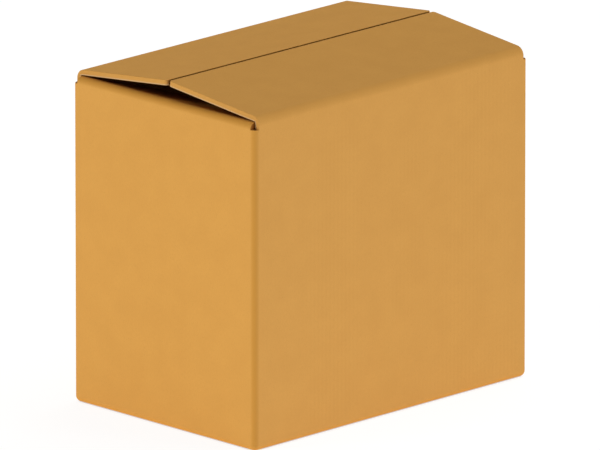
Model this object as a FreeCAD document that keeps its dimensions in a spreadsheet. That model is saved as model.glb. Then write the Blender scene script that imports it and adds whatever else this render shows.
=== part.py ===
import FreeCAD, Part

import math
import os

import Sketcher

# A closed shipping carton of corrugated board: one folded and glued sheet with two long top flaps.
# Millimetres. The origin is the centre of the bottom, +X runs along the length, +Y across the
# width and +Z up. The end panels face -X and +X, the long side panels -Y and +Y.
#
# The sheet is one piece. It is made here as the carton and its two long top flaps, because a flap
# turns about its crease: the sheet is parted along the middle of that crease.

# name, millimetres or degrees, what it is
SIZES = [
    ("box_length", 457, "outside, end face to end face"),
    ("box_width", 305, "outside, side face to side face"),
    ("box_height", 407.5, "from the floor to the top of a long flap that is pressed flat"),
    ("board", 6.7, "thickness of the corrugated board"),
    ("corner_inside_radius", 0.8, "upright folds between the panels, inner face"),
    ("bottom_inside_radius", 0.3, "folds round the bottom, inner face"),
    ("long_fold_radius", 11.5, "crease of a long top flap, outer face"),
    ("long_flap_tilt", 6, "degrees, how far a closed long flap stands up towards the middle"),
    ("long_flap_setback", 7.5, "a long flap's cut ends, in from the end faces"),
    ("long_flap_gap", 4.4, "between the two long flaps, at their top faces"),
    ("flap_corner_radius", 4, "the free corners of the long flaps"),
    ("crease_clearance", 0.3, "the parting along a crease, at the outer face"),
    ("crease_relief", 0.8, "what the parting takes off each part at the inner face"),
    ("short_fold_inside_radius", 1.3, "crease of a short top flap, inner face"),
    ("short_fold_drop", 7.9, "top of the short flaps' creases, below box_height"),
    ("short_flap_droop", 18, "degrees, how far a short flap hangs down into the carton"),
    ("short_flap_reach", 143, "a short flap's flat length past its crease"),
    ("short_flap_setback", 7.4, "a short flap's side edges, in from the side faces"),
    ("bottom_seam", 3, "gap between the two long bottom flaps"),
    ("bottom_end_gap", 1.5, "gap between a long bottom flap and the fold below an end panel"),
    ("bottom_short_reach", 152, "the short bottom flaps' free edges, in from the end faces"),
    ("glue_tab_width", 35, "the glued joint's tab, inside the far right corner"),
    ("glue_tab_slope", 20, "how much shorter the tab's free edge is at each end"),
    ("joint_edge_setback", 3, "the glued side panel's raw edge, in from the end face"),
]

# Places that several outlines share, as formulas of the sizes
HALF_LENGTH = "(sizes.box_length / 2)"
HALF_WIDTH = "(sizes.box_width / 2)"
CORNER_RADIUS = "(sizes.corner_inside_radius + sizes.board)"
SHORT_FOLD_RADIUS = "(sizes.short_fold_inside_radius + sizes.board)"
SLOT_FLOOR = f"(sizes.box_height - sizes.short_fold_drop - {SHORT_FOLD_RADIUS})"
INSIDE_LENGTH = f"({HALF_LENGTH} - sizes.board)"
INSIDE_WIDTH = f"({HALF_WIDTH} - sizes.board)"

# The long flap's crease in cross-section: its centre, and its middle and its end as directions
# from that centre, given by the sine and cosine of the angle above the horizontal
FOLD_Y = f"(-{HALF_WIDTH} + sizes.long_fold_radius)"
FOLD_Z = "(sizes.box_height - sizes.long_fold_radius)"
MIDDLE_ANGLE = "(45 - sizes.long_flap_tilt / 2)"
PARTING_ANGLE = "(sizes.crease_clearance / 2 / sizes.long_fold_radius * 180 / pi)"
INSIDE_CORNER_RISE = f"((sizes.long_fold_radius - sizes.board) * tan({MIDDLE_ANGLE}))"


def fill_sheet(doc):
    """Write the driving dimensions into the document's sheet, one row each."""
    sheet = doc.addObject("Spreadsheet::Sheet", "sizes")
    for row, (name, value, meaning) in enumerate(SIZES, start=1):
        sheet.set(f"A{row}", name)
        sheet.set(f"B{row}", str(value))
        sheet.setAlias(f"B{row}", name)
        sheet.set(f"C{row}", meaning)
    doc.recompute()


def plane(body, role):
    """One of the body's own origin planes."""
    return next(feature for feature in body.Origin.OriginFeatures if feature.Role == role)


def fold_arc(start, end, radius, turn):
    """The arc from start to end whose centre is on the left (turn 1) or on the right (turn -1)."""
    chord = end - start
    side = FreeCAD.Vector(-chord.y, chord.x, 0).normalize() * turn
    depth = math.sqrt(radius**2 - (chord.Length / 2) ** 2)
    centre = start + chord / 2 + side * depth
    first, last = (start, end) if turn > 0 else (end, start)
    circle = Part.Circle(centre, FreeCAD.Vector(0, 0, 1), radius)
    angles = [math.atan2(point.y - centre.y, point.x - centre.x) for point in (first, last)]
    return Part.ArcOfCircle(circle, *angles)


def outline(body, name, role, corners, offset=None):
    """A closed sketch on one of the body's planes, with every corner bound to the sheet.

    corners are (x formula, y formula, arc): arc is None where a straight edge leads to the next
    corner, or (radius formula, turn) where an arc does.
    """
    sketch = body.newObject("Sketcher::SketchObject", name)
    sketch.AttachmentSupport = [(plane(body, role), "")]
    sketch.MapMode = "FlatFace"
    if offset:
        sketch.setExpression("AttachmentOffset.Base.z", offset)
    points = [
        FreeCAD.Vector(sketch.evalExpression(x), sketch.evalExpression(y), 0)
        for x, y, arc in corners
    ]
    ends = []
    for index, (x, y, arc) in enumerate(corners):
        start = points[index]
        end = points[(index + 1) % len(points)]
        if arc is None:
            sketch.addGeometry(Part.LineSegment(start, end))
            ends.append((1, 2))
            continue
        radius, turn = arc
        sketch.addGeometry(fold_arc(start, end, sketch.evalExpression(radius), turn))
        ends.append((1, 2) if turn > 0 else (2, 1))
    for index, (x, y, arc) in enumerate(corners):
        following = (index + 1) % len(corners)
        sketch.addConstraint(
            Sketcher.Constraint("Coincident", index, ends[index][1], following, ends[following][0])
        )
        bind(sketch, ("DistanceX", -1, 1, index, ends[index][0], points[index].x), x)
        bind(sketch, ("DistanceY", -1, 1, index, ends[index][0], points[index].y), y)
        if arc is not None:
            bind(sketch, ("Radius", index, sketch.evalExpression(arc[0])), arc[0])
    return sketch


def bind(sketch, parts, formula):
    """Add one measured constraint and tie it to its formula."""
    number = sketch.addConstraint(Sketcher.Constraint(*parts))
    sketch.setExpression(f"Constraints[{number}]", formula)


def straight(*places):
    """Corners joined by straight edges."""
    return [(x, y, None) for x, y in places]


def rounded_rectangle(half_x, half_y, radius):
    """A rectangle about the origin with its four corners rounded."""
    corners = []
    for side_x, side_y in ((1, -1), (1, 1), (-1, 1), (-1, -1)):
        near_x = f"{side_x} * ({half_x} - {radius})"
        near_y = f"{side_y} * ({half_y} - {radius})"
        far_x = f"{side_x} * {half_x}"
        far_y = f"{side_y} * {half_y}"
        along_x = (near_x, far_y)
        along_y = (far_x, near_y)
        first, last = (along_x, along_y) if side_x * side_y < 0 else (along_y, along_x)
        corners.append((*first, (radius, 1)))
        corners.append((*last, None))
    return corners


def grow(doc, body, kind, name, sketch, length, symmetric=False, reverse=False):
    """Pad or pocket a sketch, and see that the body gained or lost volume by it."""
    before = body.Shape.Volume if body.Tip else 0
    feature = body.newObject(f"PartDesign::{kind}", name)
    feature.Profile = (sketch, [""])
    feature.setExpression("Length", length)
    feature.SideType = "Symmetric" if symmetric else "One side"
    feature.Reversed = reverse
    doc.recompute()
    gained = body.Shape.Volume - before
    if (kind == "Pad") != (gained > 0) or abs(gained) < 1:
        raise RuntimeError(f"{name} changed the volume by {gained}")
    return feature


def mirror(doc, body, name, feature, role):
    """Repeat a feature on the other side of one of the body's origin planes."""
    before = body.Shape.Volume
    copy = body.newObject("PartDesign::Mirrored", name)
    copy.Originals = [feature]
    copy.MirrorPlane = (plane(body, role), [""])
    body.Tip = copy
    doc.recompute()
    if abs(body.Shape.Volume - before) < 1:
        raise RuntimeError(f"{name} changed nothing")


def round_edges(doc, body, name, radius, chosen):
    """Fillet the edges of the body's last feature that chosen picks."""
    base = body.Tip
    names = [f"Edge{n}" for n, edge in enumerate(base.Shape.Edges, start=1) if chosen(edge)]
    fillet = body.newObject("PartDesign::Fillet", name)
    fillet.Base = (base, names)
    fillet.setExpression("Radius", radius)
    doc.recompute()


def new_body(doc, label):
    """A body with the label that names its file."""
    body = doc.addObject("PartDesign::Body", label)
    body.Label = label
    return body


def add_walls_and_bottom(doc, body):
    """Four panels with rounded upright folds, and the closed bottom with its doubled layers."""
    envelope = outline(
        body, "envelope_outline", "XY_Plane", rounded_rectangle(HALF_LENGTH, HALF_WIDTH, CORNER_RADIUS)
    )
    grow(doc, body, "Pad", "envelope", envelope, SLOT_FLOOR)
    round_edges(
        doc,
        body,
        "bottom_folds",
        "sizes.bottom_inside_radius + sizes.board",
        lambda edge: max(vertex.Z for vertex in edge.Vertexes) < 1e-6,
    )
    inside = outline(
        body,
        "inside_outline",
        "XY_Plane",
        rounded_rectangle(INSIDE_LENGTH, INSIDE_WIDTH, "sizes.corner_inside_radius"),
        offset=SLOT_FLOOR,
    )
    grow(doc, body, "Pocket", "inside", inside, f"{SLOT_FLOOR} - 2 * sizes.board")

    # The short bottom flaps lie glued on the long ones, with a gap down each side
    free_x = f"({HALF_LENGTH} - sizes.bottom_short_reach)"
    edge_y = f"({HALF_WIDTH} - sizes.short_flap_setback)"
    uncovered = outline(
        body,
        "uncovered_bottom_outline",
        "XY_Plane",
        straight(
            (f"-{INSIDE_LENGTH}", f"-{INSIDE_WIDTH}"),
            (INSIDE_LENGTH, f"-{INSIDE_WIDTH}"),
            (INSIDE_LENGTH, f"-{edge_y}"),
            (free_x, f"-{edge_y}"),
            (free_x, edge_y),
            (INSIDE_LENGTH, edge_y),
            (INSIDE_LENGTH, INSIDE_WIDTH),
            (f"-{INSIDE_LENGTH}", INSIDE_WIDTH),
            (f"-{INSIDE_LENGTH}", edge_y),
            (f"-{free_x}", edge_y),
            (f"-{free_x}", f"-{edge_y}"),
            (f"-{INSIDE_LENGTH}", f"-{edge_y}"),
        ),
        offset="2 * sizes.board",
    )
    grow(doc, body, "Pocket", "uncovered_bottom", uncovered, "sizes.board")

    # The seam between the long bottom flaps, and the gaps at their ends
    fold_x = f"({HALF_LENGTH} - sizes.bottom_inside_radius - sizes.board)"
    seam_y = "(sizes.bottom_seam / 2)"
    seam = outline(
        body,
        "seam_outline",
        "XY_Plane",
        straight(
            (f"-{fold_x}", f"-{seam_y}"),
            (fold_x, f"-{seam_y}"),
            (fold_x, seam_y),
            (f"-{fold_x}", seam_y),
        ),
    )
    grow(doc, body, "Pocket", "seam", seam, "sizes.board", reverse=True)
    gap_x = f"({fold_x} - sizes.bottom_end_gap)"
    end_gap = outline(
        body,
        "end_gap_outline",
        "XY_Plane",
        straight(
            (gap_x, f"-{INSIDE_WIDTH}"),
            (fold_x, f"-{INSIDE_WIDTH}"),
            (fold_x, INSIDE_WIDTH),
            (gap_x, INSIDE_WIDTH),
        ),
    )
    end_gap_pocket = grow(doc, body, "Pocket", "end_gap", end_gap, "sizes.board", reverse=True)
    mirror(doc, body, "end_gaps", end_gap_pocket, "YZ_Plane")


def add_glued_joint(doc, body):
    """The manufacturer's joint at the far right upright corner.

    The end panel turns the corner inside and ends in a tab, which is glued to the inner face of the
    side panel. The side panel's raw edge shows on the outside, and glue fills the wedge behind it.
    """
    fold_y = f"({INSIDE_WIDTH} - {CORNER_RADIUS})"
    raw_edge = f"({HALF_LENGTH} - sizes.joint_edge_setback)"
    rise = f"sqrt({CORNER_RADIUS}^2 - ({CORNER_RADIUS} - sizes.joint_edge_setback)^2)"
    beyond = "1"
    corner = outline(
        body,
        "joint_corner_outline",
        "XY_Plane",
        [
            (HALF_LENGTH, fold_y, (CORNER_RADIUS, 1)),
            (raw_edge, f"({fold_y} + {rise})", None),
            (raw_edge, f"({HALF_WIDTH} + {beyond})", None),
            (f"({HALF_LENGTH} + {beyond})", f"({HALF_WIDTH} + {beyond})", None),
            (f"({HALF_LENGTH} + {beyond})", fold_y, None),
        ],
    )
    grow(doc, body, "Pocket", "joint_corner", corner, SLOT_FLOOR, reverse=True)

    tab_x = f"({INSIDE_LENGTH} - sizes.glue_tab_width)"
    tab = outline(
        body,
        "glue_tab_outline",
        "XZ_Plane",
        straight(
            (INSIDE_LENGTH, "sizes.board"),
            (INSIDE_LENGTH, SLOT_FLOOR),
            (tab_x, f"({SLOT_FLOOR} - sizes.glue_tab_slope)"),
            (tab_x, "(sizes.board + sizes.glue_tab_slope)"),
        ),
        offset=f"-{INSIDE_WIDTH}",
    )
    grow(doc, body, "Pad", "glue_tab", tab, "sizes.board")


def add_short_top_flaps(doc, body):
    """The end panels' flaps: folded in first, they hang down a little under the long ones."""
    centre_x = f"(-{HALF_LENGTH} + {SHORT_FOLD_RADIUS})"
    lean_x = "sin(sizes.short_flap_droop)"
    lean_z = "cos(sizes.short_flap_droop)"
    outer = (
        f"({centre_x} + {SHORT_FOLD_RADIUS} * {lean_x})",
        f"({SLOT_FLOOR} + {SHORT_FOLD_RADIUS} * {lean_z})",
    )
    inner = (
        f"({centre_x} + sizes.short_fold_inside_radius * {lean_x})",
        f"({SLOT_FLOOR} + sizes.short_fold_inside_radius * {lean_z})",
    )
    reach = (f"sizes.short_flap_reach * {lean_z}", f"-sizes.short_flap_reach * {lean_x}")
    profile = outline(
        body,
        "short_flap_outline",
        "XZ_Plane",
        [
            (f"-{HALF_LENGTH}", SLOT_FLOOR, (SHORT_FOLD_RADIUS, -1)),
            (outer[0], outer[1], None),
            (f"{outer[0]} + {reach[0]}", f"{outer[1]} + {reach[1]}", None),
            (f"{inner[0]} + {reach[0]}", f"{inner[1]} + {reach[1]}", None),
            (inner[0], inner[1], ("sizes.short_fold_inside_radius", 1)),
            (f"-{INSIDE_LENGTH}", SLOT_FLOOR, None),
        ],
    )
    width = "sizes.box_width - 2 * sizes.short_flap_setback"
    flap = grow(doc, body, "Pad", "short_flap", profile, width, symmetric=True)
    mirror(doc, body, "short_flaps", flap, "YZ_Plane")


def add_long_creases(doc, body):
    """The side panels above the corner slots, up to the middle of the long flaps' creases."""
    turn = f"({MIDDLE_ANGLE} - {PARTING_ANGLE})"
    profile = outline(
        body,
        "crease_outline",
        "YZ_Plane",
        [
            (f"-{HALF_WIDTH}", SLOT_FLOOR, None),
            (f"-{HALF_WIDTH}", FOLD_Z, ("sizes.long_fold_radius", -1)),
            (
                f"({FOLD_Y} - sizes.long_fold_radius * cos({turn}))",
                f"({FOLD_Z} + sizes.long_fold_radius * sin({turn}))",
                None,
            ),
            (f"-{INSIDE_WIDTH}", f"({FOLD_Z} + {INSIDE_CORNER_RISE} - sizes.crease_relief)", None),
            (f"-{INSIDE_WIDTH}", SLOT_FLOOR, None),
        ],
    )
    length = "sizes.box_length - 2 * sizes.long_flap_setback"
    crease = grow(doc, body, "Pad", "crease", profile, length, symmetric=True)
    mirror(doc, body, "creases", crease, "XZ_Plane")


def make_carton(doc):
    """Walls, bottom, glued joint, short top flaps and the lower halves of the long creases."""
    body = new_body(doc, "carton")
    add_walls_and_bottom(doc, body)
    add_glued_joint(doc, body)
    add_short_top_flaps(doc, body)
    add_long_creases(doc, body)
    return body


def make_long_flap(doc, label, half_turn):
    """A long top flap from the middle of its crease to its free edge.

    It is drawn as the flap of the -Y side panel. half_turn carries it over to the +Y side.
    """
    body = new_body(doc, label)
    turn = f"({MIDDLE_ANGLE} + {PARTING_ANGLE})"
    tilt_y = "sin(sizes.long_flap_tilt)"
    tilt_z = "cos(sizes.long_flap_tilt)"
    end_y = f"({FOLD_Y} - sizes.long_fold_radius * {tilt_y})"
    end_z = f"({FOLD_Z} + sizes.long_fold_radius * {tilt_z})"
    free_y = "(-sizes.long_flap_gap / 2)"
    free_z = f"({end_z} + ({free_y} - {end_y}) * tan(sizes.long_flap_tilt))"
    profile = outline(
        body,
        f"{label}_outline",
        "YZ_Plane",
        [
            (
                f"({FOLD_Y} - sizes.long_fold_radius * cos({turn}))",
                f"({FOLD_Z} + sizes.long_fold_radius * sin({turn}))",
                ("sizes.long_fold_radius", -1),
            ),
            (end_y, end_z, None),
            (free_y, free_z, None),
            (f"({free_y} + sizes.board * {tilt_y})", f"({free_z} - sizes.board * {tilt_z})", None),
            (
                f"(-{INSIDE_WIDTH} + sizes.crease_relief * {tilt_z})",
                f"({FOLD_Z} + {INSIDE_CORNER_RISE} + sizes.crease_relief * {tilt_y})",
                None,
            ),
        ],
    )
    length = "sizes.box_length - 2 * sizes.long_flap_setback"
    grow(doc, body, "Pad", f"{label}_sheet", profile, length, symmetric=True)
    board = body.evalExpression("sizes.board")
    middle = body.evalExpression(FOLD_Y) / 2
    round_edges(
        doc,
        body,
        f"{label}_corners",
        "sizes.flap_corner_radius",
        lambda edge: abs(edge.Length - board) < 1e-6 and edge.CenterOfMass.y > middle,
    )
    if half_turn:
        upright = FreeCAD.Vector(0, 0, 1)
        body.Placement = FreeCAD.Placement(FreeCAD.Vector(), FreeCAD.Rotation(upright, 180))
    doc.recompute()
    return body


def check_and_write(doc, bodies):
    """Stop on any failed object or unsound solid, then write one file for each piece."""
    for item in doc.Objects:
        if "Invalid" in item.State or "Error" in item.State:
            raise RuntimeError(f"{item.Name} failed: {item.State}")
    for body in bodies:
        shape = body.Shape
        if shape.isNull() or not shape.isValid() or len(shape.Solids) != 1:
            raise RuntimeError(f"{body.Label} is not one sound solid")
    os.makedirs("parts", exist_ok=True)
    for body in bodies:
        body.Shape.exportStep(f"parts/{body.Label}.step")
        box = body.Shape.BoundBox
        print(f"{body.Label}: {body.Shape.Volume / 1000:.1f} cm3, {box}")


document = FreeCAD.newDocument("carton")
fill_sheet(document)
check_and_write(
    document,
    [
        make_carton(document),
        make_long_flap(document, "near_long_flap", half_turn=False),
        make_long_flap(document, "far_long_flap", half_turn=True),
    ],
)
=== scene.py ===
import math
from collections import namedtuple

import bpy
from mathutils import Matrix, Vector


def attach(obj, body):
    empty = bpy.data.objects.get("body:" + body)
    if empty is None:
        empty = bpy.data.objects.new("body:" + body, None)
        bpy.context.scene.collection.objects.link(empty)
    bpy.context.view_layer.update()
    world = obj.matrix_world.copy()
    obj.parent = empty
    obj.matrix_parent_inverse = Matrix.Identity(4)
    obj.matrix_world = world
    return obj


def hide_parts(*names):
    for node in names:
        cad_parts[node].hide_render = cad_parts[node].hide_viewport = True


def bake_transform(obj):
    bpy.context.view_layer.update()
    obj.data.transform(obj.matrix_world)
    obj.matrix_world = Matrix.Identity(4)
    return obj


# A closed shipping carton of corrugated board: one folded and glued sheet, whose two long top flaps
# meet over the middle. Metres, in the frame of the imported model: +X along the length, +Z up.
#
# Each piece is the flat sheet, folded. Columns run round the panels and rows run across the sheet,
# from the bottom flaps over the walls to the top flaps. A column knows its place on the outer face
# and the way in, and a row knows how far in and how high it lies there.

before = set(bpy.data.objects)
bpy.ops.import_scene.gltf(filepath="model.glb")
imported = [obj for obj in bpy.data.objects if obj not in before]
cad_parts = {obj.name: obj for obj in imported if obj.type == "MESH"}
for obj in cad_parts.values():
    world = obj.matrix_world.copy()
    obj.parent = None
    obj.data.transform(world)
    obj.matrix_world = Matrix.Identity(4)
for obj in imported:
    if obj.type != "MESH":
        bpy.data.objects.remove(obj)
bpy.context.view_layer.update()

MM = 0.001
QUARTER = math.radians(90)

# The carton
HALF_LENGTH = 228.5 * MM
HALF_WIDTH = 152.5 * MM
BOARD = 6.7 * MM
GLUE_GAP = 0.05 * MM
CORNER_RADIUS = 7.5 * MM
BOTTOM_RADIUS = 7.0 * MM
SLOT_FLOOR = 391.6 * MM
RAW_EDGE = 225.5 * MM
TAB_FREE_EDGE = 186.8 * MM
TAB_SLOPE = 20 * MM
JOINT_LINE = HALF_WIDTH - BOARD - GLUE_GAP
BOTTOM_FLAP_END = 220 * MM
BOTTOM_SEAM_HALF = 1.5 * MM
BOTTOM_REACH = HALF_WIDTH - BOTTOM_RADIUS - BOTTOM_SEAM_HALF
SHORT_BOTTOM_FREE_EDGE = 76.5 * MM
SHORT_FLAP_HALF_WIDTH = 145.1 * MM

# The centres of the upright folds
FOLD_X = HALF_LENGTH - CORNER_RADIUS
FOLD_Y = HALF_WIDTH - CORNER_RADIUS
JOINT_FOLD_Y = JOINT_LINE - CORNER_RADIUS

# The short top flaps
SHORT_RADIUS = 8.0 * MM
SHORT_DROOP = math.radians(18)
SHORT_TURN = QUARTER + SHORT_DROOP
SHORT_REACH = 143 * MM

# The long top flaps
LONG_END = 221 * MM
CREASE_RADIUS = 11.5 * MM
CREASE_HEIGHT = 396 * MM
# How far the crease takes on the darker fold colour, which is partly painted shade
CREASE_DARKNESS = 0.3
LONG_TILT = math.radians(6)
LONG_TURN = QUARTER - LONG_TILT
LONG_GAP_HALF = 2.2 * MM
LONG_LEVEL_REACH = HALF_WIDTH - CREASE_RADIUS - LONG_GAP_HALF
LONG_REACH = LONG_LEVEL_REACH / math.cos(LONG_TILT) + CREASE_RADIUS * math.tan(LONG_TILT)
FREE_CORNER = 4 * MM
FREE_CORNER_DEGREES = (0, 16, 32, 48, 64)
FREE_CORNER_LEAST = 0.08

# The board's section, by depth below the outer face: liner, fluting, liner, fluting, liner
Layer = namedtuple("Layer", "top bottom pitch")
LIP = 0.75 * MM
OUTER_LAYER = Layer(LIP, 2.68 * MM, 6.5 * MM)
INNER_LAYER = Layer(3.12 * MM, BOARD - LIP, 7.9 * MM)
LAYERS = (OUTER_LAYER, INNER_LAYER)
MIDDLE_LINER = (OUTER_LAYER.bottom + INNER_LAYER.top) / 2
LINER_THICKNESS = 0.45 * MM
FLUTE_PAPER = 0.42 * MM
HOLLOW_DEPTH = 6 * MM
CLEARANCE = 0.03 * MM

# How the mesh is divided. RIM is the chamfer of a cut edge, and the first step beside one.
RIM = 0.4 * MM
BESIDE_FOLD = 3 * MM
STEP = 40 * MM
STEPS_PER_FOLD = 10
STEPS_PER_CREASE = 30
STEPS_PER_FLUTE = 10
SHARP_ANGLE = math.radians(35)
NEARLY = 0.1 * MM

# The materials of a sheet's outer face, inner face and two kinds of cut edge, and of its fluting
OUTER_LINER, INNER_LINER, EDGE_ACROSS_FLUTES, EDGE_ALONG_FLUTES, FLUTING = range(5)
BOARD_KINDS = (OUTER_LINER, INNER_LINER, EDGE_ACROSS_FLUTES, EDGE_ALONG_FLUTES)
UPSIDE_DOWN_KINDS = (INNER_LINER, OUTER_LINER, EDGE_ACROSS_FLUTES, EDGE_ALONG_FLUTES)
FLUTING_KINDS = (FLUTING, FLUTING, FLUTING, FLUTING)

# A bend is 1 in the middle of a fold and 0 on flat board
Column = namedtuple("Column", "panel along x y in_x in_y cut bend", defaults=[0])
Row = namedtuple("Row", "zone up value bend", defaults=[0])


def divide(length):
    """Distances along a flat stretch: close together beside its ends, then in even steps."""
    if length < 4 * BESIDE_FOLD:
        return [0, min(RIM, length / 2)]
    inner = length - 2 * BESIDE_FOLD
    count = max(1, round(inner / STEP))
    middle = [BESIDE_FOLD + inner * n / count for n in range(count + 1)]
    return [0, RIM, *middle, length - RIM]


def bend_at(step, steps):
    """How far into a fold a step lies: 0 at the start and 1 in the middle."""
    return math.sin(math.pi * step / steps)


def wall(panel, start, end, slope=0):
    """The columns of a straight stretch of wall, with its length. The way in is to the left."""
    start, end = Vector(start), Vector(end)
    length = (end - start).length
    way = (end - start) / length
    columns = [
        Column(panel, far, *(start + way * far), -way.y, way.x, slope * far / length)
        for far in divide(length)
    ]
    return columns, length


def fold(centre, start):
    """The columns of an upright fold, a quarter turn to the left from start, with its length."""
    columns = []
    for n in range(STEPS_PER_FOLD):
        turn = QUARTER * n / STEPS_PER_FOLD
        out_x, out_y = math.cos(start + turn), math.sin(start + turn)
        x = centre[0] + CORNER_RADIUS * out_x
        y = centre[1] + CORNER_RADIUS * out_y
        bend = bend_at(n, STEPS_PER_FOLD)
        columns.append(Column("corner", CORNER_RADIUS * turn, x, y, -out_x, -out_y, 0, bend))
    return columns, CORNER_RADIUS * QUARTER


def carton_columns():
    """Once round the carton, from the far side panel's raw edge to the glued tab's free edge."""
    stretches = [
        wall("side_end", (RAW_EDGE, HALF_WIDTH), (LONG_END, HALF_WIDTH)),
        wall("side_end", (LONG_END, HALF_WIDTH), (BOTTOM_FLAP_END, HALF_WIDTH)),
        wall("side", (BOTTOM_FLAP_END, HALF_WIDTH), (-BOTTOM_FLAP_END, HALF_WIDTH)),
        wall("side_end", (-BOTTOM_FLAP_END, HALF_WIDTH), (-FOLD_X, HALF_WIDTH)),
        fold((-FOLD_X, FOLD_Y), QUARTER),
        wall("end", (-HALF_LENGTH, FOLD_Y), (-HALF_LENGTH, -FOLD_Y)),
        fold((-FOLD_X, -FOLD_Y), 2 * QUARTER),
        wall("side_end", (-FOLD_X, -HALF_WIDTH), (-BOTTOM_FLAP_END, -HALF_WIDTH)),
        wall("side", (-BOTTOM_FLAP_END, -HALF_WIDTH), (BOTTOM_FLAP_END, -HALF_WIDTH)),
        wall("side_end", (BOTTOM_FLAP_END, -HALF_WIDTH), (FOLD_X, -HALF_WIDTH)),
        fold((FOLD_X, -FOLD_Y), 3 * QUARTER),
        wall("end", (HALF_LENGTH, -FOLD_Y), (HALF_LENGTH, JOINT_FOLD_Y)),
        fold((FOLD_X, JOINT_FOLD_Y), 0),
        wall("tab", (FOLD_X, JOINT_LINE), (TAB_FREE_EDGE, JOINT_LINE), TAB_SLOPE),
    ]
    columns = []
    along = 0
    for stretch, length in stretches:
        columns += [column._replace(along=along + column.along) for column in stretch]
        along += length
    columns.append(columns[-1]._replace(along=along, x=TAB_FREE_EDGE, cut=TAB_SLOPE))
    return columns


def fold_rows(zone, up, radius, full_turn, steps, darkness=1):
    """Rows over a fold, from no turn to just before its full turn."""
    rows = []
    for n in range(steps):
        turn = full_turn * n / steps
        rows.append(Row(zone, up + radius * turn, turn, darkness * bend_at(n, steps)))
    return rows


def carton_rows():
    """From the long bottom flaps' free edges up the walls to the short top flaps' free edges."""
    bottom_arc = BOTTOM_RADIUS * QUARTER
    rows = [Row("bottom_flap", -bottom_arc - BOTTOM_REACH, BOTTOM_REACH)]
    for far in reversed(divide(BOTTOM_REACH)[1:]):
        rows.append(Row("bottom_flap", -bottom_arc - far, far))
    for n in range(STEPS_PER_FOLD):
        turn = QUARTER * (1 - n / STEPS_PER_FOLD)
        rows.append(Row("bottom_fold", -BOTTOM_RADIUS * turn, turn, bend_at(n, STEPS_PER_FOLD)))
    height = SLOT_FLOOR - BOTTOM_RADIUS
    rows += [Row("wall", far, BOTTOM_RADIUS + far) for far in divide(height)]
    rows += fold_rows("short_fold", height, SHORT_RADIUS, SHORT_TURN, STEPS_PER_FOLD)
    up = height + SHORT_RADIUS * SHORT_TURN
    rows += [Row("short_flap", up + far, far) for far in divide(SHORT_REACH)]
    rows.append(Row("short_flap", up + SHORT_REACH, SHORT_REACH))
    return rows


def carton_profile(row, depth):
    """How far in from the outer face, and how high, a row lies at a depth in the board."""
    if row.zone == "bottom_flap":
        return BOTTOM_RADIUS + row.value, depth
    if row.zone == "bottom_fold":
        radius = BOTTOM_RADIUS - depth
        return (
            BOTTOM_RADIUS - radius * math.cos(row.value),
            BOTTOM_RADIUS - radius * math.sin(row.value),
        )
    if row.zone == "wall":
        return depth, row.value
    turn, far = (row.value, 0) if row.zone == "short_fold" else (SHORT_TURN, row.value)
    radius = SHORT_RADIUS - depth
    return (
        SHORT_RADIUS - radius * math.cos(turn) + far * math.sin(turn),
        SLOT_FLOOR + radius * math.sin(turn) + far * math.cos(turn),
    )


def carton_place(column, row, depth):
    """The place of a point on the carton. A column's cut draws the glued tab's ends in."""
    inward, height = carton_profile(row, depth)
    middle = (SLOT_FLOOR + BOTTOM_RADIUS) / 2
    height += (middle - height) * column.cut / (SLOT_FLOOR - middle)
    return column.x + column.in_x * inward, column.y + column.in_y * inward, height


# The panels that reach into each zone
CARTON_ZONES = {
    "bottom_flap": {"side"},
    "bottom_fold": {"side", "side_end", "corner", "end"},
    "wall": {"side", "side_end", "corner", "end", "tab"},
    "short_fold": {"end"},
    "short_flap": {"end"},
}


def in_carton(panel, zone):
    """Whether a cell of the flat sheet belongs to the carton."""
    return panel in CARTON_ZONES[zone]


def long_flap_rows():
    """From the slot floor up the side panel, over the crease and along the flap."""
    strip = CREASE_HEIGHT - SLOT_FLOOR
    up = SLOT_FLOOR - BOTTOM_RADIUS
    rows = [Row("strip", up + far, SLOT_FLOOR + far) for far in (0, RIM, strip - BESIDE_FOLD)]
    up += strip
    rows += fold_rows("crease", up, CREASE_RADIUS, LONG_TURN, STEPS_PER_CREASE, CREASE_DARKNESS)
    up += CREASE_RADIUS * LONG_TURN
    flat_reach = LONG_REACH - FREE_CORNER
    rows += [Row("panel", up + far, far) for far in divide(flat_reach)[:-1]]
    for degrees in FREE_CORNER_DEGREES:
        far = flat_reach + FREE_CORNER * math.sin(math.radians(degrees))
        rows.append(Row("panel", up + far, far))
    rows.append(Row("panel", up + LONG_REACH, LONG_REACH))
    return rows


def long_flap_profile(row, depth):
    """As carton_profile, for the rows of a long top flap. The inner face folds to a sharp corner."""
    if row.zone == "strip":
        return depth, row.value
    turn, far = (row.value, 0) if row.zone == "crease" else (LONG_TURN, row.value)
    inner = (CREASE_RADIUS - BOARD) / math.cos(min(turn, LONG_TURN - turn))
    radius = CREASE_RADIUS + (inner - CREASE_RADIUS) * depth / BOARD
    return (
        CREASE_RADIUS - radius * math.cos(turn) + far * math.sin(turn),
        CREASE_HEIGHT + radius * math.sin(turn) + far * math.cos(turn),
    )


def long_flap_place(column, row, depth):
    """The place of a point on a long top flap, whose free corners are rounded."""
    inward, height = long_flap_profile(row, depth)
    x = column.x
    straight = LONG_END - FREE_CORNER
    beyond = row.value - (LONG_REACH - FREE_CORNER) if row.zone == "panel" else 0
    if beyond > 0 and abs(x) > straight:
        share = math.sqrt(max(0, 1 - (beyond / FREE_CORNER) ** 2))
        x = math.copysign(straight + (abs(x) - straight) * max(FREE_CORNER_LEAST, share), x)
    return x, column.y + column.in_y * inward, height


def everywhere(panel, zone):
    """Says that each cell of a sheet is board."""
    return True


def nowhere(*place):
    """Says that no place of a sheet is marked."""
    return False


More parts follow.
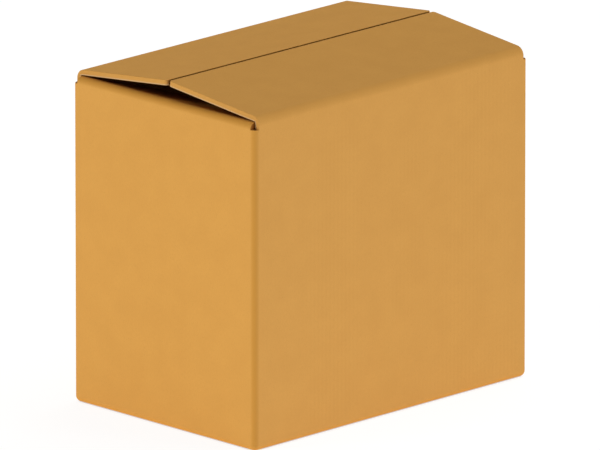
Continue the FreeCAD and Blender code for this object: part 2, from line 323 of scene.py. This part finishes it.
# A flat sheet as a grid, and how it is folded. place(column, row, depth) gives a point's place, and
# present(panel, zone) says which cells are board. joined(column, row) marks where another piece goes
# on, and hollow(column) where the last row's cut edge shows the open ends of the flutes.
Sheet = namedtuple(
    "Sheet",
    "columns rows place present joined hollow kinds",
    defaults=[everywhere, nowhere, nowhere, BOARD_KINDS],
)


def place_inside(sheet, column, depth, far):
    """The place at a distance in from the last row's cut edge, at a depth in the board."""
    edge = Vector(sheet.place(column, sheet.rows[-1], depth))
    way = (Vector(sheet.place(column, sheet.rows[-2], depth)) - edge).normalized()
    return tuple(edge + way * far)


class SheetMesh:
    """Collects the points and faces of folded sheets, and makes them one object."""

    def __init__(self):
        self.points = []
        self.bends = []
        self.faces = []
        self.spots = []
        self.kinds = []

    def point(self, place, bend):
        """Adds a point and returns its number."""
        self.points.append(place)
        self.bends.append(bend)
        return len(self.points) - 1

    def face(self, corners, spots, kind):
        """Adds a face with its corners' places on the flat sheet and its material's number."""
        self.faces.append(corners)
        self.spots.extend(spots)
        self.kinds.append(kind)

    def make(self, name, materials):
        """The object, with its flat sheet as UV map and its bends as an attribute."""
        mesh = bpy.data.meshes.new(name)
        mesh.from_pydata(self.points, [], self.faces)
        layer = mesh.uv_layers.new(name="sheet")
        layer.data.foreach_set("uv", [value for spot in self.spots for value in spot])
        bends = mesh.attributes.new("bend", "FLOAT", "POINT")
        bends.data.foreach_set("value", self.bends)
        for material in materials:
            mesh.materials.append(material)
        mesh.polygons.foreach_set("material_index", self.kinds)
        mesh.polygons.foreach_set("use_smooth", [True] * len(self.faces))
        mesh.set_sharp_from_angle(angle=SHARP_ANGLE)
        mesh.update()
        return add_object(name, mesh)


# Points with their depths: along the cut face, at the back of the hollows, and in and out of them
Section = namedtuple("Section", "front back way_in")

# A cell's neighbours, in the order of its sides
NEIGHBOURS = ((0, -1), (1, 0), (0, 1), (-1, 0))


class Shell:
    """One folded sheet, added to a mesh as a closed shell of two faces and chamfered cut edges."""

    def __init__(self, mesh, sheet):
        self.mesh = mesh
        self.sheet = sheet
        self.across = len(sheet.columns) - 1
        self.up = len(sheet.rows) - 1
        self.outer = {}
        self.inner = {}
        self.add_points()
        self.sections = {
            (i, self.up): self.section(column)
            for i, column in enumerate(sheet.columns)
            if sheet.hollow(column)
        }
        self.add_faces()
        self.add_hollows()

    def board(self, i, j):
        """Whether a cell is board."""
        inside = 0 <= i < self.across and 0 <= j < self.up
        return inside and self.sheet.present(self.sheet.columns[i].panel, self.sheet.rows[j].zone)

    def spot(self, corner):
        """A corner's place on the flat sheet."""
        return self.sheet.columns[corner[0]].along, self.sheet.rows[corner[1]].up

    def add_points(self):
        """The points of the outer and inner face, a little way in where an edge is cut."""
        sheet = self.sheet
        for i, column in enumerate(sheet.columns):
            for j, row in enumerate(sheet.rows):
                cells = [self.board(a, b) for a in (i - 1, i) for b in (j - 1, j)]
                if not any(cells):
                    continue
                cut = not all(cells) and not sheet.joined(column, row)
                chamfer = RIM if cut else 0
                bend = max(column.bend, row.bend)
                self.outer[i, j] = self.mesh.point(sheet.place(column, row, chamfer), bend)
                self.inner[i, j] = self.mesh.point(sheet.place(column, row, BOARD - chamfer), bend)

    def section(self, column):
        """The points round both layers of hollows at one place along a cut edge."""
        front, back = [], []
        for layer in LAYERS:
            for depth in (layer.top, layer.bottom):
                for points, far in ((front, 0), (back, HOLLOW_DEPTH)):
                    place = place_inside(self.sheet, column, depth, far)
                    points.append((self.mesh.point(place, 0), depth))
        way_in = [front[0], back[0], back[1], front[1], front[2], back[2], back[3], front[3]]
        return Section(front, back, way_in)

    def add_faces(self):
        """Each cell's outer and inner face, and a cut face where it has no neighbour."""
        outer_kind, inner_kind, _, _ = self.sheet.kinds
        for i in range(self.across):
            for j in range(self.up):
                if not self.board(i, j):
                    continue
                corners = [(i, j), (i + 1, j), (i + 1, j + 1), (i, j + 1)]
                spots = [self.spot(corner) for corner in corners]
                outer = [self.outer[corner] for corner in corners]
                inner = [self.inner[corner] for corner in corners]
                self.mesh.face(outer, spots, outer_kind)
                self.mesh.face(inner[::-1], spots[::-1], inner_kind)
                for side, (a, b) in enumerate(NEIGHBOURS):
                    if not self.board(i + a, j + b):
                        self.add_cut(corners[side], corners[(side + 1) % 4])

    def cut_line(self, corner):
        """The points down the cut face at a corner, from the outer face to the inner one."""
        front = self.sections[corner].front if corner in self.sections else []
        return [(self.outer[corner], 0), *front, (self.inner[corner], BOARD)]

    def add_cut(self, first, second):
        """The cut face between two corners, unless open flutes take its place."""
        if first in self.sections and second in self.sections:
            return
        _, _, across_kind, along_kind = self.sheet.kinds
        axis, kind = (0, across_kind) if first[1] == second[1] else (1, along_kind)
        here, there = self.spot(first)[axis], self.spot(second)[axis]
        line = [(point, (here, depth)) for point, depth in self.cut_line(first)]
        line += [(point, (there, depth)) for point, depth in self.cut_line(second)[::-1]]
        points, spots = zip(*line)
        self.mesh.face(points, spots, kind)

    def way_in(self, corner):
        """As cut_line, but in and out of both layers of hollows."""
        line = self.cut_line(corner)
        return [line[0], *self.sections[corner].way_in, line[-1]]

    def add_hollows(self):
        """The walls of the hollows, along the cut edge and at both ends."""
        for i, j in self.sections:
            corner, following = (i, j), (i + 1, j)
            if (i - 1, j) not in self.sections:
                self.close_hollows(corner, 1)
            if following not in self.sections:
                self.close_hollows(corner, -1)
                continue
            here, there = self.spot(corner)[0], self.spot(following)[0]
            line, next_line = self.way_in(corner), self.way_in(following)
            for n in range(len(line) - 1):
                (a, top), (b, bottom) = line[n], line[n + 1]
                points = [a, next_line[n][0], next_line[n + 1][0], b]
                spots = [(here, top), (there, top), (there, bottom), (here, bottom)]
                self.mesh.face(points, spots, FLUTING)

    def close_hollows(self, corner, side):
        """The end walls of both layers of hollows. side is 1 where they open towards +along."""
        front, back, _ = self.sections[corner]
        along = self.spot(corner)[0]
        for a, b in ((0, 1), (2, 3)):
            line = [front[a], back[a], back[b], front[b]][::side]
            points = [point for point, _ in line]
            spots = [(along, depth) for _, depth in line]
            self.mesh.face(points, spots, FLUTING)


def add_fluting(mesh, sheet, hollow):
    """The wavy papers that stand in the hollows of a sheet's last edge."""
    ends = [column for column in sheet.columns if hollow(column)]
    first, last = ends[0], ends[-1]
    length = last.along - first.along
    rows = [Row("paper", 0, HOLLOW_DEPTH - CLEARANCE), Row("paper", HOLLOW_DEPTH, CLEARANCE)]
    for layer in LAYERS:
        middle = (layer.top + layer.bottom) / 2
        swing = (layer.bottom - layer.top - FLUTE_PAPER) / 2 - CLEARANCE
        steps = round(length / layer.pitch * STEPS_PER_FLUTE)
        columns = []
        for n in range(steps + 1):
            share = (n + 0.5) / (steps + 1)
            along = first.along + share * length
            x = first.x + share * (last.x - first.x)
            y = first.y + share * (last.y - first.y)
            columns.append(first._replace(along=along, x=x, y=y))

        def place(column, row, depth):
            turn = 2 * math.pi * column.along / layer.pitch
            level = middle + swing * math.sin(turn) + (depth / BOARD - 0.5) * FLUTE_PAPER
            return place_inside(sheet, column, level, row.value)

        Shell(mesh, Sheet(columns, rows, place, kinds=FLUTING_KINDS))


def add_short_bottom_flap(mesh, side, from_y, to_y):
    """A short bottom flap, glued flat on the long ones, as a slab of board from its end wall."""
    thickness = BOARD - 2 * GLUE_GAP
    wall_x = HALF_LENGTH - BOARD - GLUE_GAP
    length, width = wall_x - SHORT_BOTTOM_FREE_EDGE, to_y - from_y
    start_y = from_y if side > 0 else to_y
    columns = [Column("slab", y, 0, start_y + side * y, 0, 0, 0) for y in divide(width) + [width]]
    rows = [Row("slab", x, side * (wall_x - x)) for x in divide(length) + [length]]

    def place(column, row, depth):
        return row.value, column.y, 2 * BOARD - depth * thickness / BOARD

    Shell(mesh, Sheet(columns, rows, place, kinds=UPSIDE_DOWN_KINDS))


def add_carton(columns, materials):
    """The walls, the closed bottom, the glued joint and the two short top flaps."""

    def joined(column, row):
        on_side = column.panel in ("side", "side_end") and abs(column.x) < LONG_END - NEARLY
        return on_side and row.zone == "short_fold" and row.value == 0

    def hollow(column):
        return column.panel == "end" and abs(column.y) < FOLD_Y - BESIDE_FOLD + RIM

    mesh = SheetMesh()
    sheet = Sheet(columns, carton_rows(), carton_place, in_carton, joined, hollow)
    Shell(mesh, sheet)
    add_fluting(mesh, sheet, lambda column: hollow(column) and column.x < 0)
    add_fluting(mesh, sheet, lambda column: hollow(column) and column.x > 0)
    add_short_bottom_flap(mesh, -1, -SHORT_FLAP_HALF_WIDTH, SHORT_FLAP_HALF_WIDTH)
    add_short_bottom_flap(mesh, 1, -SHORT_FLAP_HALF_WIDTH, JOINT_FOLD_Y)
    carton = mesh.make("carton_sheet", materials)
    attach(carton, "box")
    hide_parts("carton")


def long_flap_columns(columns, side):
    """The columns of one side panel, between the ends of its long top flap."""
    on_side = [column for column in columns if column.y * side > HALF_WIDTH - NEARLY]
    within = [column for column in on_side if abs(column.x) < LONG_END + NEARLY]
    return [
        column
        for column in within
        if column.panel in ("side", "side_end") or abs(column.x) > LONG_END - NEARLY
    ]


def add_long_flap(name, side, columns, materials):
    """The side panel's upper edge, the crease and the long top flap, bending at the crease."""

    def joined(column, row):
        return row.value == SLOT_FLOOR and abs(column.x) < LONG_END - NEARLY

    def hollow(column):
        return abs(column.x) < LONG_END - FREE_CORNER + NEARLY

    mesh = SheetMesh()
    own = long_flap_columns(columns, side)
    sheet = Sheet(own, long_flap_rows(), long_flap_place, everywhere, joined, hollow)
    Shell(mesh, sheet)
    add_fluting(mesh, sheet, hollow)
    flap = mesh.make(f"{name}_flap_sheet", materials)
    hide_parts(f"{name}_long_flap")
    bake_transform(flap)


def add_object(name, data):
    """An object of this data, in the scene."""
    new_object = bpy.data.objects.new(name, data)
    bpy.context.scene.collection.objects.link(new_object)
    return new_object


def add_node(tree, kind, values=(), **settings):
    """A shader node with its settings, and its input values by name."""
    node = tree.nodes.new(kind)
    for name, value in settings.items():
        setattr(node, name, value)
    for name, value in dict(values).items():
        node.inputs[name].default_value = value
    return node


def new_material(name):
    """A material with one Principled shader, its tree and that shader."""
    material = bpy.data.materials.new(name)
    material.use_nodes = True
    tree = material.node_tree
    return material, tree, tree.nodes["Principled BSDF"]


def calculate(tree, operation, first, second=0.0):
    """One Math node, whose two values are numbers or sockets."""
    node = add_node(tree, "ShaderNodeMath", operation=operation)
    for socket, value in zip(node.inputs, (first, second)):
        if isinstance(value, (int, float)):
            socket.default_value = value
        else:
            tree.links.new(value, socket)
    return node.outputs[0]


def spread(tree, value, low, high, to_low, to_high):
    """to_low where the value is low or less, to_high where it is high or more, even between."""
    limits = {"From Min": low, "From Max": high, "To Min": to_low, "To Max": to_high}
    node = add_node(tree, "ShaderNodeMapRange", limits)
    tree.links.new(value, node.inputs["Value"])
    return node.outputs["Result"]


def blend_colours(tree, share, first, second):
    """The first colour, or the second by its share. Each is a colour or a socket."""
    node = add_node(tree, "ShaderNodeMix", data_type="RGBA")
    sockets = [socket for socket in node.inputs if socket.type == "RGBA"]
    for socket, colour in zip(sockets, (first, second)):
        if isinstance(colour, tuple):
            socket.default_value = colour
        else:
            tree.links.new(colour, socket)
    tree.links.new(share, node.inputs[0])
    return next(socket for socket in node.outputs if socket.type == "RGBA")


# Colours of the paper, and painted shade for hollows, slot edges and, in part, folds
KRAFT = (0.72, 0.36, 0.082, 1)
KRAFT_DARK = (0.655, 0.318, 0.070, 1)
# The outer liner at the middle of a fold: partly crushed paper, partly painted shade
KRAFT_CRUSHED_AND_SHADED = (0.66, 0.31, 0.054, 1)
KRAFT_SPECK = (0.42, 0.19, 0.05, 1)
INSIDE = (0.695, 0.385, 0.125, 1)
INSIDE_DARK = (0.64, 0.345, 0.11, 1)
# The inner liner at the middle of a fold: partly crushed paper, partly painted shade
INSIDE_CRUSHED_AND_SHADED = (0.64, 0.335, 0.095, 1)
FLAP_END = (0.66, 0.335, 0.085, 1)
FLAP_END_PALE = (0.68, 0.42, 0.20, 1)
CUT_PAPER = (0.56, 0.25, 0.05, 1)
# Painted shade: the open flute hollows of a cut edge, and dark streaks along the carton's cut edges
# along the flutes
HOLLOW_SHADE = (0.10, 0.028, 0.004, 1)
# Painted shade on the carton's cut edges along the flutes, as in the slots; also the darker mottling
# of bare flute paper
SLOT_SHADE_AND_DARK_PULP = (0.44, 0.165, 0.024, 1)

# A noise over the paper: its features per metre, how it is stretched along the sheet's axes, and its
# detail. It mixes in none of a second colour at low or less, and the most at high or more.
EVEN = (1, 1, 1)
Grain = namedtuple("Grain", "scale stretch detail low high most", defaults=[0, 1, 1])
CLOUDS = Grain(28, EVEN, 4, 0.3, 0.7, 0.35)
FIBRES = Grain(700, (1, 0.35, 1), 2, 0.35, 0.75, 0.35)
SPECKS = Grain(900, EVEN, 1, 0.72, 0.8, 0.4)
WRINKLES = Grain(350, EVEN, 3)
EDGE_FIBRES_AND_CHANNEL_SHADE = Grain(500, (0.2, 2, 1), 2, 0.3, 0.7, 0.6)
PULP = Grain(900, EVEN, 3, 0.3, 0.7, 0.7)

# How much of the liner's relief its fibres and its flutes make, beside the wrinkles of a fold
FIBRE_RELIEF = 0.2
FLUTE_RELIEF = 0.2

# How a line of paper is drawn on a cut edge, and how near the inner face a flap's end turns pale
LINE_SOFTNESS = 0.15 * MM
DRAWN_FLUTE_HALF = 0.65 * FLUTE_PAPER
PALE_FROM = BOARD - 1.6 * MM
PALE_BEYOND = BOARD - 1.2 * MM

# How matt a surface is, and how strong and high its relief
Finish = namedtuple("Finish", "roughness shine strength height")
LINER_FINISH = Finish(0.85, 0.15, 1.0, 0.1 * MM)
EDGE_FINISH = Finish(0.9, 0.1, 0.3, 0.2 * MM)


def finish_surface(tree, shader, colour, relief, finish):
    """Gives a shader its colour, its relief and how matt it is."""
    tree.links.new(colour, shader.inputs["Base Color"])
    shader.inputs["Roughness"].default_value = finish.roughness
    shader.inputs["Specular IOR Level"].default_value = finish.shine
    bump = add_node(tree, "ShaderNodeBump", {"Strength": finish.strength, "Distance": finish.height})
    tree.links.new(relief, bump.inputs["Height"])
    tree.links.new(bump.outputs["Normal"], shader.inputs["Normal"])


def sheet_coordinates(tree):
    """Along and up the flat sheet. On a cut edge: along it, and the depth below the outer face."""
    place = add_node(tree, "ShaderNodeUVMap", uv_map="sheet")
    parts = add_node(tree, "ShaderNodeSeparateXYZ")
    tree.links.new(place.outputs["UV"], parts.inputs[0])
    return parts.outputs["X"], parts.outputs["Y"]


def noise_on_sheet(tree, grain):
    """The noise of a grain over the flat sheet."""
    place = add_node(tree, "ShaderNodeUVMap", uv_map="sheet")
    mapping = add_node(tree, "ShaderNodeMapping", {"Scale": grain.stretch})
    looks = {"Scale": grain.scale, "Detail": grain.detail}
    noise = add_node(tree, "ShaderNodeTexNoise", looks, noise_dimensions="2D")
    tree.links.new(place.outputs["UV"], mapping.inputs["Vector"])
    tree.links.new(mapping.outputs["Vector"], noise.inputs["Vector"])
    return noise.outputs["Fac"]


def mix_in(tree, base, colour, noise, grain):
    """The base colour with some of another where the noise of a grain is high."""
    share = spread(tree, noise, grain.low, grain.high, 0, grain.most)
    return blend_colours(tree, share, base, colour)


def wave_along(tree, along, pitch):
    """A sine wave of this pitch along the sheet."""
    return calculate(tree, "SINE", calculate(tree, "MULTIPLY", along, 2 * math.pi / pitch))


def liner_material(name, colour, dark, folded):
    """Kraft liner: faint clouds, fibres and specks, flutes that barely show, and darker folds:
    partly crushed, partly painted shade.
    """
    material, tree, shader = new_material(name)
    fibres = noise_on_sheet(tree, FIBRES)
    bend = add_node(tree, "ShaderNodeAttribute", attribute_name="bend").outputs["Fac"]
    base = mix_in(tree, colour, dark, noise_on_sheet(tree, CLOUDS), CLOUDS)
    base = mix_in(tree, base, dark, fibres, FIBRES)
    base = mix_in(tree, base, KRAFT_SPECK, noise_on_sheet(tree, SPECKS), SPECKS)
    # Folds darken towards their middle: partly crushed paper, partly painted shade
    base = blend_colours(tree, bend, base, folded)
    along, _ = sheet_coordinates(tree)
    flutes = wave_along(tree, along, OUTER_LAYER.pitch)
    wrinkles = calculate(tree, "MULTIPLY", noise_on_sheet(tree, WRINKLES), bend)
    relief = calculate(tree, "ADD", calculate(tree, "MULTIPLY", fibres, FIBRE_RELIEF), wrinkles)
    relief = calculate(tree, "ADD", relief, calculate(tree, "MULTIPLY", flutes, FLUTE_RELIEF))
    finish_surface(tree, shader, base, relief, LINER_FINISH)
    return material


def near(tree, depth, place, half_thickness):
    """1 where the depth is within half_thickness of place, falling to 0 just beyond it."""
    away = calculate(tree, "ABSOLUTE", calculate(tree, "SUBTRACT", depth, place))
    return spread(tree, away, half_thickness, half_thickness + LINE_SOFTNESS, 1, 0)


def liners_at(tree, depth):
    """1 on the three liners' cut edges."""
    half = LINER_THICKNESS / 2
    marks = [near(tree, depth, place, half) for place in (half, MIDDLE_LINER, BOARD - half)]
    return calculate(tree, "MAXIMUM", calculate(tree, "MAXIMUM", marks[0], marks[1]), marks[2])


def fluting_at(tree, along, depth, layer):
    """1 on one wavy layer of paper between two liners, where it is cut across."""
    middle = (layer.top + layer.bottom) / 2
    swing = (layer.bottom - layer.top - FLUTE_PAPER) / 2
    rise = calculate(tree, "MULTIPLY", wave_along(tree, along, layer.pitch), swing)
    return near(tree, depth, calculate(tree, "ADD", rise, middle), DRAWN_FLUTE_HALF)


def across_flutes_material():
    """A cut edge across the flutes: three liners and two wavy layers, with painted shade in the
    hollows between.
    """
    material, tree, shader = new_material("edge_across_flutes_hollow_shade")
    along, depth = sheet_coordinates(tree)
    paper = liners_at(tree, depth)
    for layer in LAYERS:
        paper = calculate(tree, "MAXIMUM", paper, fluting_at(tree, along, depth, layer))
    # Between the drawn papers the hollows get painted shade
    base = blend_colours(tree, paper, HOLLOW_SHADE, CUT_PAPER)
    finish_surface(tree, shader, base, paper, EDGE_FINISH)
    return material


def along_flutes_material(name, colour, grain_and_hollow_shade, inner_colour):
    """A cut edge along the flutes: nearly plain, with streaks of a second colour and a line at the
    inner liner.
    """
    material, tree, shader = new_material(name)
    _, depth = sheet_coordinates(tree)
    fibres = noise_on_sheet(tree, EDGE_FIBRES_AND_CHANNEL_SHADE)
    # On the carton the streaks are painted shade of open flute channels; on a flap's end they are
    # darker fibres
    base = mix_in(tree, colour, grain_and_hollow_shade, fibres, EDGE_FIBRES_AND_CHANNEL_SHADE)
    at_inner_liner = spread(tree, depth, PALE_FROM, PALE_BEYOND, 0, 1)
    base = blend_colours(tree, at_inner_liner, base, inner_colour)
    finish_surface(tree, shader, base, liners_at(tree, depth), EDGE_FINISH)
    return material


def fluting_material():
    """The bare paper of the flutes and of the liners' cut ends."""
    material, tree, shader = new_material("fluting")
    pulp = noise_on_sheet(tree, PULP)
    base = mix_in(tree, CUT_PAPER, SLOT_SHADE_AND_DARK_PULP, pulp, PULP)
    finish_surface(tree, shader, base, pulp, EDGE_FINISH)
    return material


# The studio. Under the carton the floor has no glow, so that it stays dark behind the seams.
WHITE = (1, 1, 1, 1)
FLOOR_COLOUR = (0.8, 0.8, 0.8, 1)
FLOOR_SHADE = (0.2, 0.2, 0.2, 1)
FLOOR_BOUNCE = 0.55
FLOOR_HALF_SIZE = 6.0
COVERED_FLOOR_COLOUR = (0.75, 0.75, 0.75, 1)
COVERED_FLOOR_ROUGHNESS = 0.9
AMBIENT = (0.2, 0.2, 0.2, 1)

# The shadow at the carton's foot: its reach and samples, the open share of the sky that ends it, and
# the floor's glow where it is darkest and where it has ended
FOOT_REACH = 12 * MM
FOOT_SAMPLES = 16
OPEN_SHARE = 0.4
COVERED_GLOW = 0.4
OPEN_GLOW = 0.9


def camera_sees(tree):
    """1 for rays of the camera, of reflections and through glass, and 0 for the light's own."""
    path = add_node(tree, "ShaderNodeLightPath")
    glossy = calculate(tree, "MAXIMUM", path.outputs["Is Camera Ray"], path.outputs["Is Glossy Ray"])
    return calculate(tree, "MAXIMUM", glossy, path.outputs["Is Transmission Ray"])


def empty_tree(owner):
    """The node tree of a material or world, with nothing in it."""
    owner.use_nodes = True
    owner.node_tree.nodes.clear()
    return owner.node_tree


def add_shaders(tree, first, second):
    """Two shaders on top of each other."""
    both = add_node(tree, "ShaderNodeAddShader")
    tree.links.new(first.outputs[0], both.inputs[0])
    tree.links.new(second.outputs[0], both.inputs[1])
    return both


def finish_stage(tree, plain, seen, output_kind):
    """Lights the carton with one shader and shows the camera another."""
    mix = add_node(tree, "ShaderNodeMixShader")
    output = add_node(tree, output_kind)
    tree.links.new(camera_sees(tree), mix.inputs[0])
    tree.links.new(plain.outputs[0], mix.inputs[1])
    tree.links.new(seen.outputs[0], mix.inputs[2])
    tree.links.new(mix.outputs[0], output.inputs["Surface"])


def open_floor_material():
    """Matt and pale for the light, and white for the camera, with the carton's soft shadow."""
    material = bpy.data.materials.new("open_floor")
    tree = empty_tree(material)
    matt = add_node(tree, "ShaderNodeBsdfDiffuse", {"Color": FLOOR_COLOUR})
    bounce = add_node(tree, "ShaderNodeEmission", {"Color": WHITE, "Strength": FLOOR_BOUNCE})
    shade = add_node(tree, "ShaderNodeBsdfDiffuse", {"Color": FLOOR_SHADE})
    glow = add_node(tree, "ShaderNodeEmission", {"Color": WHITE})
    reach = {"Distance": FOOT_REACH}
    open_above = add_node(tree, "ShaderNodeAmbientOcclusion", reach, samples=FOOT_SAMPLES)
    strength = spread(tree, open_above.outputs["AO"], 0, OPEN_SHARE, COVERED_GLOW, OPEN_GLOW)
    tree.links.new(strength, glow.inputs["Strength"])
    plain = add_shaders(tree, matt, bounce)
    finish_stage(tree, plain, add_shaders(tree, shade, glow), "ShaderNodeOutputMaterial")
    return material


def covered_floor_material():
    """Pale and nearly matt, with no glow."""
    material, _, shader = new_material("covered_floor")
    shader.inputs["Base Color"].default_value = COVERED_FLOOR_COLOUR
    shader.inputs["Roughness"].default_value = COVERED_FLOOR_ROUGHNESS
    return material


def add_floor():
    """A plain pale floor of three by three faces, whose middle one lies under the carton."""
    under_x = HALF_LENGTH - BOTTOM_RADIUS
    under_y = HALF_WIDTH - BOTTOM_RADIUS
    across = (-FLOOR_HALF_SIZE, -under_x, under_x, FLOOR_HALF_SIZE)
    deep = (-FLOOR_HALF_SIZE, -under_y, under_y, FLOOR_HALF_SIZE)
    corners = [(x, y, 0) for y in deep for x in across]
    faces = []
    for row in range(3):
        for column in range(3):
            first = 4 * row + column
            faces.append((first, first + 1, first + 5, first + 4))
    mesh = bpy.data.meshes.new("floor")
    mesh.from_pydata(corners, [], faces)
    mesh.materials.append(open_floor_material())
    mesh.materials.append(covered_floor_material())
    mesh.polygons[len(faces) // 2].material_index = 1
    floor = add_object("floor", mesh)


def add_world():
    """White where it is seen, and a plain ambient light on the carton."""
    world = bpy.data.worlds.new("studio")
    bpy.context.scene.world = world
    tree = empty_tree(world)
    light = add_node(tree, "ShaderNodeBackground", {"Color": AMBIENT})
    white = add_node(tree, "ShaderNodeBackground", {"Color": WHITE})
    finish_stage(tree, light, white, "ShaderNodeOutputWorld")


def direction(azimuth, elevation):
    """The way out to an azimuth, in degrees from +X towards +Y, and an elevation."""
    azimuth, elevation = math.radians(azimuth), math.radians(elevation)
    level = math.cos(elevation)
    return Vector((level * math.cos(azimuth), level * math.sin(azimuth), math.sin(elevation)))


def add_sun(name, azimuth, elevation, strength, softness, colour):
    """A broad lamp that shines from an azimuth and an elevation."""
    lamp = bpy.data.lights.new(name, "SUN")
    lamp.energy = strength
    lamp.angle = math.radians(softness)
    lamp.color = colour
    sun = add_object(name, lamp)
    sun.rotation_euler = direction(azimuth, elevation).to_track_quat("Z", "Y").to_euler()


# The photograph's view: 45 degrees round from the side panel and 15.8 above level
CAMERA_AZIMUTH = -134.925
CAMERA_ELEVATION = 15.79
CAMERA_AIM = Vector((-1.2, 0.2, 201.8)) * MM
CAMERA_FRAME_WIDTH = 711 * MM
CAMERA_LENS = 1250
CAMERA_SENSOR = 36
CAMERA_NEAREST = 1.0


def add_camera():
    """A very long lens, so that the view is nearly a parallel projection, as the photograph's is."""
    distance = CAMERA_FRAME_WIDTH * CAMERA_LENS / CAMERA_SENSOR
    back = direction(CAMERA_AZIMUTH, CAMERA_ELEVATION)
    data = bpy.data.cameras.new("camera")
    data.lens = CAMERA_LENS
    data.sensor_width = CAMERA_SENSOR
    data.clip_start = CAMERA_NEAREST
    data.clip_end = 2 * distance
    camera = add_object("camera", data)
    camera.location = CAMERA_AIM + back * distance
    camera.rotation_euler = back.to_track_quat("Z", "Y").to_euler()
    bpy.context.scene.camera = camera


outer_liner = liner_material("outer_liner", KRAFT, KRAFT_DARK, KRAFT_CRUSHED_AND_SHADED)
inner_liner = liner_material("inner_liner", INSIDE, INSIDE_DARK, INSIDE_CRUSHED_AND_SHADED)
cut_across = across_flutes_material()
# The carton's cut edges along the flutes are painted shade: dark brown as in a slot, with near-black
# streaks
shaded_cut_along = along_flutes_material("edge_along_flutes_painted_shade", SLOT_SHADE_AND_DARK_PULP, HOLLOW_SHADE, SLOT_SHADE_AND_DARK_PULP)
flap_end = along_flutes_material("flap_end", FLAP_END, KRAFT_DARK, FLAP_END_PALE)
fluting = fluting_material()

round_the_carton = carton_columns()
add_carton(round_the_carton, [outer_liner, inner_liner, cut_across, shaded_cut_along, fluting])
flap_materials = [outer_liner, inner_liner, cut_across, flap_end, fluting]
for side, name in ((-1, "near"), (1, "far")):
    add_long_flap(name, side, round_the_carton, flap_materials)

add_floor()
add_world()
add_sun("key", azimuth=156, elevation=9, strength=1.34, softness=18, colour=(1.0, 1.0, 0.9))
add_sun("fill", azimuth=-66, elevation=9, strength=1.11, softness=18, colour=(0.76, 0.81, 1.0))
add_sun("overhead", azimuth=0, elevation=62, strength=1.1, softness=50, colour=(1.0, 1.0, 0.93))
add_camera()
bpy.context.scene.view_settings.view_transform = "Standard"
